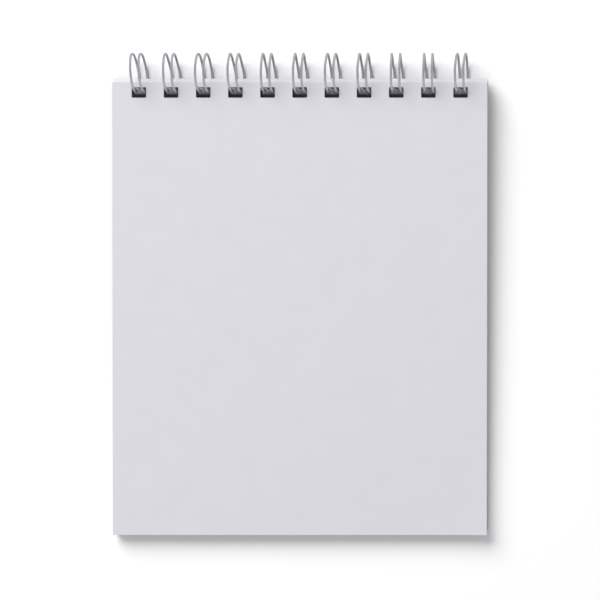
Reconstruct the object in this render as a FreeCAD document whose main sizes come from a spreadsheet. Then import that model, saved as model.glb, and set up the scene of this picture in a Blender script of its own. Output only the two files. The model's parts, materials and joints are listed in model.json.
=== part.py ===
import FreeCAD, Part
import math
import os
import Sketcher

# A top-bound writing pad: a white front cover, a block of loose sheets and a backing board, held
# by one twin-loop wire. Millimetres. X runs along the rings, +Y points at them, +Z is up.
# The pieces are drawn round the axis of the rings and then laid down together at rest.

doc = FreeCAD.newDocument("notebook")
sizes = doc.addObject("Spreadsheet::Sheet", "sizes")
driving = [
    ("pageWidth", 148.0, "across the rings"),
    ("pageLength", 179.0, "from the bound edge to the free edge"),
    ("coverThick", 0.3, "white card in front"),
    ("blockThick", 4.1, "all the sheets pressed together"),
    ("boardThick", 0.8, "backing board"),
    ("holePitch", 12.7, "two rings to the inch"),
    ("holeCount", 11, "punched holes, each with one pair of wires"),
    ("holeWidth", 5.8, "punched hole along the rings"),
    ("holeHeight", 4.2, "punched hole across the rings"),
    ("holeMargin", 1.9, "from the bound edge to the hole"),
    ("ringSize", 15.9, "outside width of a ring"),
    ("wireSize", 1.0, "wire diameter"),
    ("wirePair", 3.25, "between the two wires of one ring"),
    ("wireSeat", 0.5, "how far the wire sits from the hole's middle, towards the rings"),
    ("wireEnd", 2.5, "straight cut end beyond the first and last bend"),
    ("ringLean", 0.8, "how far the top of a ring leans sideways"),
    ("faceRise", 1.5, "front face above the axis of the rings"),
    ("seamClearance", 0.1, "above and below the wire that lies between the block and the board"),
    ("tipClearance", 0.15, "between the tip of a ring and the wire that it closes on"),
    ("sheetClearance", 0.05, "between the block and each cover"),
    ("frontSlide", 0.15, "how far the front cover sits to the left on the rings"),
    ("blockSlide", 0.15, "how far the block sits to the right on the rings"),
    ("boardSlide", 0.6, "how far the board sits to the right on the rings"),
    ("boardSeat", 0.3, "how far the wire sits from the middle of the board's hole"),
    ("fanShift", 1.74, "how much nearer the rings the lowest sheet reaches than the top one"),
]
for row, (name, value, meaning) in enumerate(driving, start=1):
    sizes.set("A%d" % row, name)
    sizes.set("B%d" % row, str(value))
    sizes.set("C%d" % row, meaning)
    sizes.setAlias("B%d" % row, name)
doc.recompute()

pageLength = sizes.pageLength
coverThick = sizes.coverThick
blockThick = sizes.blockThick
boardThick = sizes.boardThick
holePitch = sizes.holePitch
holeCount = int(sizes.holeCount)
wireSize = sizes.wireSize
wirePair = sizes.wirePair
ringRadius = (sizes.ringSize - wireSize) / 2

# Heights from the axis of the rings, top to bottom: cover, block, wire seam, board.
coverBottom = sizes.faceRise - coverThick
blockTop = coverBottom - sizes.sheetClearance
blockBottom = blockTop - blockThick
seamHeight = blockBottom - sizes.seamClearance - wireSize / 2
boardTop = seamHeight - wireSize / 2 - sizes.seamClearance
holeMiddle = sizes.holeMargin + sizes.holeHeight / 2
edgeReach = holeMiddle - sizes.wireSeat


def wireReach(height):
    """How far the rings lie from their axis at a height."""
    return math.sqrt(ringRadius ** 2 - height ** 2)


def originOf(body, role):
    """One of the planes and axes of a body's own origin."""
    return next(item for item in body.Origin.OriginFeatures if item.Role == role)


def namedSketch(body, name, role):
    """An empty sketch on one of a body's own planes."""
    sketch = body.newObject("Sketcher::SketchObject", name)
    sketch.AttachmentSupport = (originOf(body, role), [""])
    sketch.MapMode = "FlatFace"
    return sketch


def bind(sketch, name, constraint, formula):
    """Add a constraint and tie it to the sheet of sizes."""
    index = sketch.addConstraint(constraint)
    sketch.renameConstraint(index, name)
    sketch.setExpression("Constraints." + name, formula)


def drawRectangle(sketch, left, bottom, width, height, formulas):
    """A rectangle whose left and bottom places, width and height follow four formulas."""
    right = left + width
    top = bottom + height
    corners = [(left, bottom), (right, bottom), (right, top), (left, top)]
    points = [FreeCAD.Vector(x, y, 0) for x, y in corners]
    for index in range(4):
        sketch.addGeometry(Part.LineSegment(points[index], points[(index + 1) % 4]), False)
    for index in range(4):
        sketch.addConstraint(Sketcher.Constraint("Coincident", index, 2, (index + 1) % 4, 1))
    sketch.addConstraint(Sketcher.Constraint("Horizontal", 0))
    sketch.addConstraint(Sketcher.Constraint("Horizontal", 2))
    sketch.addConstraint(Sketcher.Constraint("Vertical", 1))
    sketch.addConstraint(Sketcher.Constraint("Vertical", 3))
    bind(sketch, "left", Sketcher.Constraint("DistanceX", 0, 1, -1, 1, -left), formulas[0])
    bind(sketch, "bottom", Sketcher.Constraint("DistanceY", 0, 1, -1, 1, -bottom), formulas[1])
    bind(sketch, "width", Sketcher.Constraint("DistanceX", 0, 1, 0, 2, width), formulas[2])
    bind(sketch, "height", Sketcher.Constraint("DistanceY", 1, 1, 1, 2, height), formulas[3])


def padAlong(body, sketch, formula, symmetric):
    """Thicken a sketch into the piece."""
    pad = body.newObject("PartDesign::Pad", sketch.Name + "Pad")
    pad.Profile = sketch
    pad.SideType = "Symmetric" if symmetric else "One side"
    pad.setExpression("Length", formula)
    return pad


def punchHoles(body, name, thickFormula):
    """Cut the first hole right through and repeat it along the rings."""
    sketch = namedSketch(body, name, "XY_Plane")
    farSide = sizes.holeMargin + sizes.holeHeight
    firstLeft = (holeCount - 1) / 2 * holePitch + sizes.holeWidth / 2
    drawRectangle(sketch, -firstLeft, -farSide, sizes.holeWidth, sizes.holeHeight,
                  ["(sizes.holeCount - 1) / 2 * sizes.holePitch + sizes.holeWidth / 2",
                   "sizes.holeMargin + sizes.holeHeight", "sizes.holeWidth", "sizes.holeHeight"])
    hole = body.newObject("PartDesign::Pocket", name + "Cut")
    hole.Profile = sketch
    hole.SideType = "Symmetric"
    hole.setExpression("Length", "4 * " + thickFormula)
    row = body.newObject("PartDesign::LinearPattern", name + "Row")
    row.Originals = [hole]
    row.Direction = (originOf(body, "X_Axis"), [""])
    row.Mode = "Spacing"
    row.setExpression("Offset", "sizes.holePitch")
    row.setExpression("Occurrences", "sizes.holeCount")
    body.Tip = row


def makePlate(label, thickFormula):
    """A flat cover with its bound edge at Y zero and its underside at Z zero."""
    body = doc.addObject("PartDesign::Body", label)
    body.Label = label
    width = sizes.pageWidth
    outline = namedSketch(body, label + "Outline", "XY_Plane")
    drawRectangle(outline, -width / 2, -pageLength, width, pageLength,
                  ["sizes.pageWidth / 2", "sizes.pageLength", "sizes.pageWidth", "sizes.pageLength"])
    padAlong(body, outline, thickFormula, False)
    punchHoles(body, label + "Hole", thickFormula)
    return body


def drawFan(sketch, far):
    """The side of a stack whose ends follow one arc: Y and Z zero are its upper bound edge."""
    shift = sizes.fanShift
    fan = (blockThick ** 2 + shift ** 2) / (2 * shift)
    lowAngle = math.pi + math.atan2(blockThick, fan - shift)
    for edge in (0, far):
        circle = Part.Circle(FreeCAD.Vector(edge + fan, 0, 0), FreeCAD.Vector(0, 0, 1), fan)
        sketch.addGeometry(Part.ArcOfCircle(circle, math.pi, lowAngle), False)
    for along, height in ((0, 0), (shift, -blockThick)):
        ends = [FreeCAD.Vector(edge + along, height, 0) for edge in (0, far)]
        sketch.addGeometry(Part.LineSegment(ends[0], ends[1]), False)
    # Arc ends: 1 at the top and 2 at the bottom. Line 2 is the top and line 3 the bottom.
    for arc in (0, 1):
        sketch.addConstraint(Sketcher.Constraint("Coincident", 2, arc + 1, arc, 1))
        sketch.addConstraint(Sketcher.Constraint("Coincident", 3, arc + 1, arc, 2))
        sketch.addConstraint(Sketcher.Constraint("PointOnObject", arc, 3, -1))
        bind(sketch, "shift%d" % arc, Sketcher.Constraint("DistanceX", arc, 1, arc, 2, shift),
             "sizes.fanShift")
    sketch.addConstraint(Sketcher.Constraint("Coincident", 0, 1, -1, 1))
    sketch.addConstraint(Sketcher.Constraint("Horizontal", 2))
    sketch.addConstraint(Sketcher.Constraint("Horizontal", 3))
    bind(sketch, "length", Sketcher.Constraint("DistanceX", 1, 1, 0, 1, -far), "sizes.pageLength")
    bind(sketch, "thick", Sketcher.Constraint("DistanceY", 3, 1, 2, 1, blockThick),
         "sizes.blockThick")


def makeBlock():
    """The sheets, each reaching a little nearer the rings than the one above."""
    label = "page_block"
    body = doc.addObject("PartDesign::Body", label)
    body.Label = label
    side = namedSketch(body, label + "Side", "YZ_Plane")
    drawFan(side, -pageLength)
    padAlong(body, side, "sizes.pageWidth", True)
    punchHoles(body, label + "Hole", "sizes.blockThick")
    return body


def ringPoint(across, swing):
    """A point of the wire's middle line: swing 0 is in front, 90 on top, 180 at the back."""
    turn = math.radians(swing)
    lean = math.asin(sizes.ringLean / ringRadius)
    rise = ringRadius * math.sin(turn)
    return FreeCAD.Vector(across - rise * math.sin(lean), -ringRadius * math.cos(turn),
                          rise * math.cos(lean))


def ringRun(across, start, end, runs):
    """Evenly spaced points of one wire round its ring."""
    return [ringPoint(across, start + (end - start) * step / runs) for step in range(runs + 1)]


def wirePath():
    """The wire's whole middle line: base, up one leg, round the tip, back down the other, base."""
    legRuns = 24
    tipRuns = 6
    tipRadius = wirePair / 2
    seamSwing = math.degrees(math.asin(seamHeight / ringRadius))
    tipGap = math.degrees((wireSize + sizes.tipClearance + tipRadius) / ringRadius)
    endSwing = 360 + seamSwing - tipGap
    along = ringPoint(0, endSwing + 0.5) - ringPoint(0, endSwing - 0.5)
    along.normalize()
    points = []
    for ring in range(holeCount):
        middle = (ring - (holeCount - 1) / 2) * holePitch
        left = ringRun(middle - wirePair / 2, seamSwing, endSwing, legRuns)
        right = ringRun(middle + wirePair / 2, seamSwing, endSwing, legRuns)
        tipMiddle = (left[-1] + right[-1]) / 2
        tip = []
        for step in range(1, tipRuns):
            turn = math.pi * step / tipRuns
            outward = FreeCAD.Vector(-tipRadius * math.cos(turn), 0, 0)
            tip.append(tipMiddle + outward + along * (tipRadius * math.sin(turn)))
        points += left + tip + right[::-1]
    reach = FreeCAD.Vector(sizes.wireEnd, 0, 0)
    return [points[0] - reach] + points + [points[-1] + reach]


def makeWire():
    """One wire of eight-sided section, as thick as the round one, bent into a row of rings."""
    sides = 8
    route = wirePath()
    path = doc.addObject("Part::Feature", "wirePath")
    path.Shape = Part.makePolygon(route)
    section = doc.addObject("Part::RegularPolygon", "wireSection")
    section.Polygon = sides
    share = math.sqrt(2 * math.pi / (sides * math.sin(2 * math.pi / sides)))
    section.setExpression("Circumradius", "%.6f * sizes.wireSize / 2" % share)
    section.Placement = FreeCAD.Placement(route[0], FreeCAD.Rotation(FreeCAD.Vector(0, 1, 0), 90))
    wire = doc.addObject("Part::Sweep", "wire_binding")
    wire.Label = "wire_binding"
    wire.Sections = [section]
    wire.Spine = path
    wire.Solid = True
    wire.Frenet = False
    wire.Transition = "Right corner"
    return wire


block = makeBlock()
frontCover = makePlate("front_cover", "sizes.coverThick")
backCover = makePlate("back_cover", "sizes.boardThick")
wire = makeWire()
pieces = [wire, block, frontCover, backCover]
doc.recompute()

# The front cover and the block hang on the rings where they cross their own heights.
frontReach = edgeReach - wireReach(coverBottom + coverThick / 2)
frontCover.Placement.Base = FreeCAD.Vector(-sizes.frontSlide, frontReach, coverBottom)
blockReach = edgeReach - wireReach(blockTop)
block.Placement.Base = FreeCAD.Vector(sizes.blockSlide, blockReach, blockTop)

# The board hangs lower by the wire seam at the rings and closes on the block at its free edge.
boardReach = holeMiddle - sizes.boardSeat - wireReach(boardTop - boardThick / 2)
boardSlope = math.degrees(math.asin((blockBottom - sizes.sheetClearance - boardTop) / pageLength))
boardTurn = FreeCAD.Rotation(FreeCAD.Vector(1, 0, 0), -boardSlope)
boardCorner = FreeCAD.Vector(sizes.boardSlide, boardReach, boardTop)
boardCorner -= boardTurn.multVec(FreeCAD.Vector(0, 0, boardThick))
backCover.Placement = FreeCAD.Placement(boardCorner, boardTurn)
doc.recompute()

# At rest the rings and the board's free edge touch the table, which tips the whole pad a little.
ringDrop = -wire.Shape.optimalBoundingBox(False).ZMin
freeEdge = backCover.Placement.multVec(FreeCAD.Vector(0, -pageLength, 0))
edgeDistance = math.hypot(freeEdge.y, freeEdge.z)
tip = math.degrees(math.asin(ringDrop / edgeDistance) - math.atan2(-freeEdge.z, -freeEdge.y))
turn = FreeCAD.Rotation(FreeCAD.Vector(1, 0, 0), tip)
laid = FreeCAD.Placement(FreeCAD.Vector(), turn)
for piece in pieces:
    piece.Placement = laid.multiply(piece.Placement)
doc.recompute()
whole = Part.makeCompound([piece.Shape for piece in pieces]).optimalBoundingBox(False)
centre = FreeCAD.Vector((whole.XMin + whole.XMax) / 2, (whole.YMin + whole.YMax) / 2, whole.ZMin)
for piece in pieces:
    piece.Placement.Base = piece.Placement.Base - centre
doc.recompute()

for item in doc.Objects:
    if "Invalid" in item.State or "Error" in item.State:
        raise RuntimeError("%s did not rebuild: %s" % (item.Name, item.State))
os.makedirs("parts", exist_ok=True)
holeVolume = {
    "page_block": sizes.holeWidth * sizes.holeHeight * blockThick * holeCount,
    "front_cover": sizes.holeWidth * sizes.holeHeight * coverThick * holeCount,
    "back_cover": sizes.holeWidth * sizes.holeHeight * boardThick * holeCount,
}
for piece in pieces:
    shape = piece.Shape
    if shape.isNull() or not shape.isValid() or len(shape.Solids) != 1:
        raise RuntimeError("%s is not one good solid" % piece.Label)
    if piece.Label in holeVolume:
        uncut = piece.Group[1].Shape.Volume
        if abs(uncut - shape.Volume - holeVolume[piece.Label]) > 0.01 * holeVolume[piece.Label]:
            raise RuntimeError("%s has the wrong holes" % piece.Label)
    shape.exportStep("parts/%s.step" % piece.Label)
    print(piece.Label, "volume", round(shape.Volume, 2))

print("ring axis", [round(value, 4) for value in (FreeCAD.Vector() - centre)])
print("pad tips by", round(tip, 4), "degrees, board by", round(tip - boardSlope, 4))
print("size", round(whole.XLength, 3), round(whole.YLength, 3), round(whole.ZLength, 3))
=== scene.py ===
import bpy
import json
import math
import random
from mathutils import Matrix, Vector


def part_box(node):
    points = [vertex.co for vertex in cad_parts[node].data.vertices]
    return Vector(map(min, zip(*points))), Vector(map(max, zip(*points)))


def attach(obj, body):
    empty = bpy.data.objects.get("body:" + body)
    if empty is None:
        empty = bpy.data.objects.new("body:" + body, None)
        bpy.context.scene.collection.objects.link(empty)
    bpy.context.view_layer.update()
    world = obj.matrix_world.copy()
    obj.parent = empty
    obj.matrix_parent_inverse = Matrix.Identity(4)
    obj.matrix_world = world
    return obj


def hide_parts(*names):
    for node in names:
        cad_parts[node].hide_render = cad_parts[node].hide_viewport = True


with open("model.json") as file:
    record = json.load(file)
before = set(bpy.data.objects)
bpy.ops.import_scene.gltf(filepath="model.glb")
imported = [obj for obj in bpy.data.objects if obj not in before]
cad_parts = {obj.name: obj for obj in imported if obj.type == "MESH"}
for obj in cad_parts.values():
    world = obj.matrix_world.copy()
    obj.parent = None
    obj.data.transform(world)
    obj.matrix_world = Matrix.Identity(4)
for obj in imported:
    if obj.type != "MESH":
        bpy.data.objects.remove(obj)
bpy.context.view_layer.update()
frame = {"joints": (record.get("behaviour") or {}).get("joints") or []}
random.seed(11)

mm = 0.001    # sizes below are in millimetres, and meshes and sockets take metres

# How all the sheets are punched. The middles of the holes are measured from that of the row.
punching = {
    "width": 148.0,
    "length": 179.0,
    "pitch": 12.7,
    "holes": 11,
    "holeWidth": 5.8,
    "holeHeight": 4.2,
    "margin": 1.9,
    "holeCorner": 0.45,
    "cornerSteps": 3,
}
holeMiddles = [(i - (punching["holes"] - 1) / 2) * punching["pitch"]
               for i in range(punching["holes"])]
near = 0.1    # how close a point has to be to a line to count as lying on it


def hexToLinear(text):
    channels = [int(text[i:i + 2], 16) / 255 for i in (1, 3, 5)]
    return [c / 12.92 if c <= 0.04045 else ((c + 0.055) / 1.055) ** 2.4 for c in channels] + [1.0]


# Settings go to sockets by name or number, or else to the node's own properties.
def addNode(tree, kind, settings=(), links=()):
    node = tree.nodes.new(kind)
    for name, value in dict(settings).items():
        if isinstance(name, int) or name in node.inputs:
            node.inputs[name].default_value = value
        else:
            setattr(node, name, value)
    for name, output in dict(links).items():
        tree.links.new(output, node.inputs[name])
    return node


def startMaterial(name):
    material = bpy.data.materials.new(name)
    material.use_nodes = True
    tree = material.node_tree
    tree.nodes.clear()
    output = addNode(tree, "ShaderNodeOutputMaterial")
    place = addNode(tree, "ShaderNodeTexCoord").outputs["Object"]
    return material, tree, output, place


def nothingSelected():
    bpy.ops.object.select_all(action="DESELECT")


def editMode(on):
    bpy.ops.object.mode_set(mode="EDIT" if on else "OBJECT")


# Select faces or edges of the active mesh by a test on each one.
def selectWhere(piece, kind, test):
    editMode(True)
    bpy.ops.mesh.select_mode(type={"polygons": "FACE", "edges": "EDGE"}[kind])
    bpy.ops.mesh.select_all(action="DESELECT")
    editMode(False)
    for item in getattr(piece.data, kind):
        item.select = test(item)
    editMode(True)


def applyModifier(piece, kind, settings):
    modifier = piece.modifiers.new(kind.title(), kind)
    for name, value in settings.items():
        setattr(modifier, name, value)
    bpy.ops.object.modifier_apply(modifier=modifier.name)


# The finished piece sits at the origin, with its place in its mesh.
def layDown(piece, matrix):
    piece.data.transform(matrix)
    piece.data.update()


# A punched plate with its bound edge at y 0 and its underside at z 0.
def punchedPlate(name, thick, crossCuts):
    nothingSelected()
    bpy.ops.mesh.primitive_plane_add(size=1)
    plate = bpy.context.object
    plate.name = plate.data.name = name
    plate.scale = (punching["width"] * mm, punching["length"] * mm, 1)
    plate.location = (0, -punching["length"] / 2 * mm, 0)
    bpy.ops.object.transform_apply(location=True, rotation=True, scale=True)

    half = punching["holeWidth"] / 2
    holeTop = -punching["margin"]
    holeBottom = holeTop - punching["holeHeight"]
    editMode(True)
    for across in [middle + side for middle in holeMiddles for side in (-half, half)]:
        bpy.ops.mesh.select_all(action="SELECT")
        bpy.ops.mesh.bisect(plane_co=(across * mm, 0, 0), plane_no=(1, 0, 0))
    for along in [holeTop, holeBottom] + crossCuts:
        bpy.ops.mesh.select_all(action="SELECT")
        bpy.ops.mesh.bisect(plane_co=(0, along * mm, 0), plane_no=(0, 1, 0))

    def inHole(face):
        x, y = face.center.x / mm, face.center.y / mm
        return holeBottom < y < holeTop and min(abs(x - m) for m in holeMiddles) < half

    selectWhere(plate, "polygons", inHole)
    bpy.ops.mesh.delete(type="FACE")
    editMode(False)
    applyModifier(plate, "SOLIDIFY", {"thickness": thick * mm, "offset": 1})

    # The punch leaves slightly rounded corners.
    points = plate.data.vertices

    def isHoleCorner(edge):
        a, b = [points[i].co for i in edge.vertices]
        return (abs(a.z - b.z) > thick * mm / 2
                and holeBottom - near < a.y / mm < holeTop + near
                and min(abs(abs(a.x / mm - m) - half) for m in holeMiddles) < near)

    selectWhere(plate, "edges", isHoleCorner)
    bpy.ops.mesh.bevel(offset=punching["holeCorner"] * mm, segments=punching["cornerSteps"],
                       affect="EDGES")
    bpy.ops.mesh.select_all(action="SELECT")
    bpy.ops.mesh.normals_make_consistent(inside=False)
    editMode(False)
    return plate


# Where a CAD plate lies: its lower bound edge and its slope, read from the node's box.
def plateFrame(node, thick):
    low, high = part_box(node)
    slope = math.asin((high[2] - low[2] - thick * mm) / (punching["length"] * mm))
    middle = (low[0] + high[0]) / 2
    lift = high[2] - thick * mm * math.cos(slope)
    return Matrix.Translation((middle, high[1], lift)) @ Matrix.Rotation(slope, 4, "X"), slope


# Front cover

# Uncoated white card, calendered: matt, faintly cloudy, with a fine tooth from its fibres.
uncoatedCard = {
    "light": "#DFDEE4",
    "dark": "#DAD9DF",
    "cloudSize": 9.0,
    "fibreSize": 0.45,
    "toothHeight": 0.012,
    "roughness": 0.86,
}
coverSizes = {
    "thick": 0.3,
    "cutEvery": 11.0,       # cross cuts that let the sheet bow
    "cuts": 16,
    "cornerLift": 0.5,      # the lower right corner stands up a little
    "cornerReach": 26.0,
    "bellyLift": 0.12,      # the free edge bows up by a little
}


# What card, paper and board share.
fibreNodes = {
    "cloudDetail": 4.0,
    "fibreDetail": 3.0,
    "fibreGain": 0.6,
    "bump": 0.35,
    "ior": 1.45,
    "gloss": 0.3,
}


def paperMaterial(name, look):
    material, tree, output, place = startMaterial(name)
    clouds = addNode(tree, "ShaderNodeTexNoise",
                     {"Scale": 1 / (look["cloudSize"] * mm), "Detail": fibreNodes["cloudDetail"]},
                     {"Vector": place})
    tone = addNode(tree, "ShaderNodeMix",
                   {"data_type": "RGBA", 6: hexToLinear(look["dark"]),
                    7: hexToLinear(look["light"])},
                   {0: clouds.outputs[0]})
    fibres = addNode(tree, "ShaderNodeTexNoise",
                     {"Scale": 1 / (look["fibreSize"] * mm), "Detail": fibreNodes["fibreDetail"],
                      "Roughness": fibreNodes["fibreGain"]},
                     {"Vector": place})
    tooth = addNode(tree, "ShaderNodeBump",
                    {"Strength": fibreNodes["bump"], "Distance": look["toothHeight"] * mm},
                    {"Height": fibres.outputs[0]})
    shader = addNode(tree, "ShaderNodeBsdfPrincipled",
                     {"Roughness": look["roughness"], "IOR": fibreNodes["ior"],
                      "Specular IOR Level": fibreNodes["gloss"]},
                     {"Base Color": tone.outputs[2], "Normal": tooth.outputs[0]})
    tree.links.new(shader.outputs[0], output.inputs["Surface"])
    return material


crossCuts = [-(i + 1) * coverSizes["cutEvery"] for i in range(coverSizes["cuts"])]
cover = punchedPlate("coverSheet", coverSizes["thick"], crossCuts)
halfWidth = punching["width"] / 2
for vertex in cover.data.vertices:
    x, y = vertex.co.x / mm, vertex.co.y / mm
    fromCorner = math.hypot(x - halfWidth, y + punching["length"])
    corner = max(0.0, 1 - fromCorner / coverSizes["cornerReach"]) ** 2
    belly = (y / punching["length"]) ** 4 * math.cos(x / halfWidth * math.pi / 2)
    vertex.co.z += (coverSizes["cornerLift"] * corner + coverSizes["bellyLift"] * belly) * mm
coverFrame, padTilt = plateFrame("front_cover", coverSizes["thick"])
layDown(cover, coverFrame)
cover.data.materials.append(paperMaterial("uncoatedCard", uncoatedCard))
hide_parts("front_cover")
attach(cover, "front_cover")
print("front cover made")

# Writing sheets

# Uncoated white writing paper, a little brighter than the card.
writingPaper = {
    "light": "#E4E4E9",
    "dark": "#DEDEE4",
    "cloudSize": 7.0,
    "fibreSize": 0.4,
    "toothHeight": 0.008,
    "roughness": 0.9,
}
stackSizes = {
    "sheets": 40,
    "thick": 4.1,
    "gap": 0.004,
    "fan": 1.74,           # how much further the lowest sheet reaches towards the rings
    "holeShift": -0.1,     # sideways place of the holes on the rings
    "slideTop": 0.0,       # how far the side edges of the top and the lowest sheet stand right
    "slideLow": 0.6,
    "loose": 0.05,
    "edgeBand": 1.0,       # vertices this close to an outer edge belong to it
}

pitch = stackSizes["thick"] / stackSizes["sheets"]
firstSheet = punchedPlate("sheet", pitch - stackSizes["gap"], [])
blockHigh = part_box("page_block")[1]
ringX, ringY, ringZ = frame["joints"][0]["pos_m"]
boundY = (blockHigh[1] - stackSizes["fan"] * mm * math.cos(padTilt)
          - stackSizes["thick"] * mm * math.sin(padTilt))
stackPlace = Matrix.Translation((ringX + stackSizes["holeShift"] * mm, boundY, blockHigh[2]))
fanRadius = (stackSizes["thick"] ** 2 + stackSizes["fan"] ** 2) / (2 * stackSizes["fan"])
band = stackSizes["edgeBand"]
sheets = []
for i in range(stackSizes["sheets"]):
    sheet = firstSheet.copy()
    sheet.data = firstSheet.data.copy()
    bpy.context.collection.objects.link(sheet)
    depth = (i + 1) * pitch
    share = depth / stackSizes["thick"]
    reach = fanRadius - math.sqrt(fanRadius ** 2 - (depth - pitch / 2) ** 2)
    reach += random.uniform(-1, 1) * stackSizes["loose"]
    slide = stackSizes["slideTop"] + share * (stackSizes["slideLow"] - stackSizes["slideTop"])
    slide += random.uniform(-1, 1) * stackSizes["loose"] * share
    for vertex in sheet.data.vertices:
        if not -punching["length"] + band < vertex.co.y / mm < -band:
            vertex.co.y += reach * mm
        if abs(vertex.co.x / mm) > punching["width"] / 2 - band:
            vertex.co.x += slide * mm
    drop = Matrix.Translation((0, 0, -depth * mm))
    layDown(sheet, stackPlace @ Matrix.Rotation(padTilt, 4, "X") @ drop)
    sheets.append(sheet)
bpy.data.objects.remove(firstSheet)
nothingSelected()
for sheet in sheets:
    sheet.select_set(True)
bpy.context.view_layer.objects.active = sheets[0]
bpy.ops.object.join()
stack = bpy.context.object
stack.name = stack.data.name = "sheetStack"
stack.data.materials.append(paperMaterial("writingPaper", writingPaper))
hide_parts("page_block")
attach(stack, "pages")
print("writing sheets made")

# Backing board

# Dark grey board, dyed right through and calendered: matt, with short fibres just showing.
dyedBoard = {
    "light": "#6A6971",
    "dark": "#5A5962",
    "cloudSize": 3.0,
    "fibreSize": 0.6,
    "toothHeight": 0.03,
    "roughness": 0.78,
}
boardSizes = {"thick": 0.8, "edge": 0.12, "edgeSteps": 2, "edgeAngle": 60.0}

board = punchedPlate("backingBoard", boardSizes["thick"], [])
applyModifier(board, "BEVEL", {"width": boardSizes["edge"] * mm,
                               "segments": boardSizes["edgeSteps"], "limit_method": "ANGLE",
                               "angle_limit": math.radians(boardSizes["edgeAngle"])})
layDown(board, plateFrame("back_cover", boardSizes["thick"])[0])
board.data.materials.append(paperMaterial("dyedBoard", dyedBoard))
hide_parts("back_cover")
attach(board, "back_cover")
print("backing board made")

# Binding wire

# Drawn steel wire with a thin satin nickel coat: a dull mirror with fine drawing marks.
nickelledWire = {
    "light": "#CDCDD1",
    "dark": "#BBBBC0",
    "markSize": 0.5,
    "markDetail": 3.0,
    "roughLow": 0.46,
    "roughHigh": 0.58,
}
wireSizes = {
    "size": 0.95,
    "ring": 7.44,             # radius of the wire's middle line
    "pair": 3.3,
    "seam": -3.55,            # height of the run between the block and the board
    "tipGap": 1.15,
    "cutEnd": 2.5,
    "seamBend": 1.3,          # how far a bend into the seam reaches, in thicknesses of the wire
    "step": 15.0,             # degrees between control points
    "tipSteps": 5,
    "order": 4,
    "lengthSteps": 3,
    "roundSteps": 4,
    "smoothAngle": 50.0,
    # Sideways lean of each ring at some swings: 0 is in the hole, 90 above, 180 behind the edge.
    "swings": (-30, 10, 50, 100, 150, 185, 228, 275, 322, 360),
    "leans": (
        (0.5, 0.05, -1.0, -1.65, -1.6, -0.85, 0.0, 1.25, 0.9, 0.6),
        (0.5, 0.0, -1.1, -1.4, -1.15, -0.6, 0.2, 1.65, 1.0, 0.6),
        (0.5, -0.05, -1.3, -1.6, -0.95, -0.3, 0.65, 1.7, 1.1, 0.6),
        (0.5, 0.0, -1.15, -1.55, -0.85, -0.4, 0.35, 1.7, 1.1, 0.6),
        (0.5, 0.05, -0.95, -1.1, -0.55, -0.25, 0.35, 1.5, 1.0, 0.6),
        (0.5, 0.05, -1.0, -1.2, -0.5, -0.25, 0.25, 1.25, 1.0, 0.6),
        (0.5, 0.05, -1.1, -1.4, -0.6, -0.1, 0.6, 1.65, 1.1, 0.6),
        (0.5, 0.05, -1.05, -1.3, -0.5, -0.15, 0.45, 1.4, 1.0, 0.6),
        (0.5, 0.15, -0.7, -0.8, -0.4, -0.25, 0.25, 1.2, 0.9, 0.6),
        (0.5, 0.15, -0.6, -0.75, -0.35, -0.1, 0.35, 1.1, 0.9, 0.6),
        (0.5, 0.1, -0.85, -1.1, -0.3, 0.45, 1.1, 1.6, 1.2, 0.6),
    ),
}


def leanOf(ring, swing):
    keys = list(zip(wireSizes["swings"], wireSizes["leans"][ring]))
    for (start, a), (end, b) in zip(keys, keys[1:]):
        if swing <= end:
            return a + (b - a) * (swing - start) / (end - start)


radius = wireSizes["ring"]
seamSwing = math.degrees(math.asin(wireSizes["seam"] / radius))
halfPair = wireSizes["pair"] / 2
endSwing = 360 + seamSwing - math.degrees((wireSizes["tipGap"] + halfPair) / radius)
legSteps = round((endSwing - seamSwing) / wireSizes["step"])
legStep = (endSwing - seamSwing) / legSteps
tipStep = math.pi / wireSizes["tipSteps"]


# A smooth spline runs inside its control points, so those on an arc stand a little outside it.
def spreadFor(step):
    return 3 / (2 + math.cos(step))


def ringPoint(ring, across, swing, spread):
    turn = math.radians(swing)
    return Vector((holeMiddles[ring] + across + leanOf(ring, swing),
                   -radius * spread * math.cos(turn), radius * spread * math.sin(turn)))


def legOf(ring, across):
    spread = spreadFor(math.radians(legStep))
    arc = [ringPoint(ring, across, seamSwing + legStep * step, spread)
           for step in range(1, legSteps + 1)]
    return [ringPoint(ring, across, seamSwing, 1)] + arc


def tipOf(ring):
    points = []
    reach = halfPair * spreadFor(tipStep)
    for step in range(1, wireSizes["tipSteps"]):
        turn = tipStep * step
        swing = endSwing + math.degrees(reach * math.sin(turn) / radius)
        points.append(ringPoint(ring, -reach * math.cos(turn), swing, 1))
    return points


bend = Vector((wireSizes["size"] * wireSizes["seamBend"], 0, 0))
cut = Vector((wireSizes["cutEnd"], 0, 0)) - bend
route = []
for ring in range(punching["holes"]):
    left, right = legOf(ring, -halfPair), legOf(ring, halfPair)
    route += [left[0] - bend] + left + tipOf(ring) + right[::-1] + [right[0] + bend]
route = [route[0] - cut] + route + [route[-1] + cut]

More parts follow.
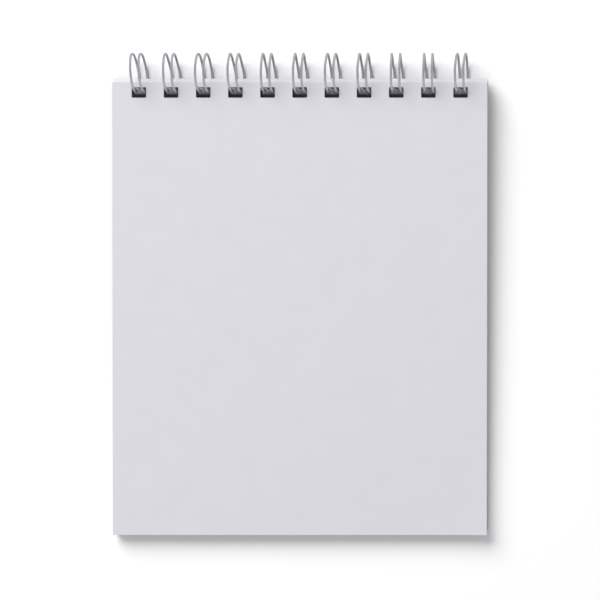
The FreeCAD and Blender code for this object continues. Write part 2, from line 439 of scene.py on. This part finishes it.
nothingSelected()
bpy.ops.curve.primitive_nurbs_path_add()
wire = bpy.context.object
wire.name = wire.data.name = "bindingWire"
wire.data.splines.clear()
spline = wire.data.splines.new("NURBS")
spline.points.add(len(route) - 1)
for point, place in zip(spline.points, route):
    point.co = (*(place * mm), 1)
spline.order_u = wireSizes["order"]
spline.use_endpoint_u = True
wire.data.dimensions = "3D"
wire.data.resolution_u = wireSizes["lengthSteps"]
wire.data.bevel_depth = wireSizes["size"] / 2 * mm
wire.data.bevel_resolution = wireSizes["roundSteps"]
wire.data.use_fill_caps = True
bpy.ops.object.convert(target="MESH")
wire = bpy.context.object
bpy.ops.object.shade_smooth_by_angle(angle=math.radians(wireSizes["smoothAngle"]))
layDown(wire, Matrix.Translation((ringX, ringY, ringZ)) @ Matrix.Rotation(padTilt, 4, "X"))

material, tree, output, place = startMaterial("nickelledWire")
marks = addNode(tree, "ShaderNodeTexNoise",
                {"Scale": 1 / (nickelledWire["markSize"] * mm),
                 "Detail": nickelledWire["markDetail"]}, {"Vector": place})
tone = addNode(tree, "ShaderNodeMix",
               {"data_type": "RGBA", 6: hexToLinear(nickelledWire["dark"]),
                7: hexToLinear(nickelledWire["light"])}, {0: marks.outputs[0]})
gloss = addNode(tree, "ShaderNodeMapRange",
                {"To Min": nickelledWire["roughLow"], "To Max": nickelledWire["roughHigh"]},
                {"Value": marks.outputs[0]})
shader = addNode(tree, "ShaderNodeBsdfPrincipled", {"Metallic": 1.0},
                 {"Base Color": tone.outputs[2], "Roughness": gloss.outputs[0]})
tree.links.new(shader.outputs[0], output.inputs["Surface"])
wire.data.materials.append(material)
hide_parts("wire_binding")
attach(wire, "pages")
print("binding wire made")

# Table, light and camera

studio = {
    "tableSize": 12.0,          # metres
    "tableTone": "#E6E6E8",
    "tableGain": 1.055,         # keeps the table white to its corners
    "ambient": 0.4,             # light from all round, as a share of white
    "fill": (0.5, -0.45, 0.0),  # more light from the right and the front, as from a white card
    "overhead": 0.35,           # what the wire mirrors from straight above, where no lamp stands
    "overheadFrom": 0.3,        # above this height the mirrored sky grows darker
    "lampWay": (-0.82, 1.08, 1.0),
    "lampDistance": 3.0,        # metres
    "lampSize": 2.55,           # metres
    "lampPower": 106.0,
    "cameraPlace": (-0.26, -2.36, 1250.0),
    "lens": 188.65,
    "sensor": 36.0,
    "clip": (0.01, 50.0),       # metres
}

nothingSelected()
bpy.ops.mesh.primitive_plane_add(size=studio["tableSize"])
table = bpy.context.object
table.name = "table"
material, tree, output, place = startMaterial("whiteTable")
rays = addNode(tree, "ShaderNodeLightPath")
tone = addNode(tree, "ShaderNodeMix",
               {"data_type": "RGBA", 6: hexToLinear(studio["tableTone"]),
                7: [studio["tableGain"]] * 4},
               {0: rays.outputs["Is Camera Ray"]})
matt = addNode(tree, "ShaderNodeBsdfDiffuse", {}, {"Color": tone.outputs[2]})
tree.links.new(matt.outputs[0], output.inputs["Surface"])
table.data.materials.append(material)

world = bpy.data.worlds.new("studio")
bpy.context.scene.world = world
world.use_nodes = True
tree = world.node_tree
tree.nodes.clear()
output = addNode(tree, "ShaderNodeOutputWorld")
rays = addNode(tree, "ShaderNodeLightPath")
seen = addNode(tree, "ShaderNodeMath", {"operation": "MAXIMUM"},
               {0: rays.outputs["Is Camera Ray"], 1: rays.outputs["Is Transmission Ray"]})
way = addNode(tree, "ShaderNodeTexCoord").outputs["Generated"]
height = addNode(tree, "ShaderNodeSeparateXYZ", {}, {0: way}).outputs["Z"]
mirrored = addNode(tree, "ShaderNodeMapRange",
                   {"From Min": studio["overheadFrom"], "To Min": 1.0,
                    "To Max": studio["overhead"]},
                   {"Value": height})
side = addNode(tree, "ShaderNodeVectorMath", {"operation": "DOT_PRODUCT", 1: studio["fill"]},
               {0: way})
ambient = addNode(tree, "ShaderNodeMath",
                  {"operation": "MULTIPLY_ADD", 1: studio["ambient"], 2: studio["ambient"]},
                  {0: side.outputs["Value"]})
dim = addNode(tree, "ShaderNodeMix", {},
              {0: rays.outputs["Is Glossy Ray"], 2: ambient.outputs[0], 3: mirrored.outputs[0]})
strength = addNode(tree, "ShaderNodeMix", {3: 1.0},
                   {0: seen.outputs[0], 2: dim.outputs[0]})
sky = addNode(tree, "ShaderNodeBackground", {"Color": hexToLinear("#FFFFFF")},
              {"Strength": strength.outputs[0]})
tree.links.new(sky.outputs[0], output.inputs["Surface"])

lampPlace = Vector(studio["lampWay"]).normalized() * studio["lampDistance"]
bpy.ops.object.light_add(type="AREA", location=lampPlace,
                         rotation=lampPlace.to_track_quat("Z", "Y").to_euler())
lamp = bpy.context.object
lamp.data.shape = "DISK"
lamp.data.size = studio["lampSize"]
lamp.data.energy = studio["lampPower"]
lamp.visible_glossy = False    # the wire mirrors the sky alone, so it stays an even grey

bpy.ops.object.camera_add(location=[value * mm for value in studio["cameraPlace"]],
                          rotation=(0, 0, 0))
camera = bpy.context.object
camera.data.lens = studio["lens"]
camera.data.sensor_width = studio["sensor"]
camera.data.clip_start, camera.data.clip_end = studio["clip"]
bpy.context.scene.camera = camera
bpy.context.scene.view_settings.view_transform = "Standard"
print("studio made")
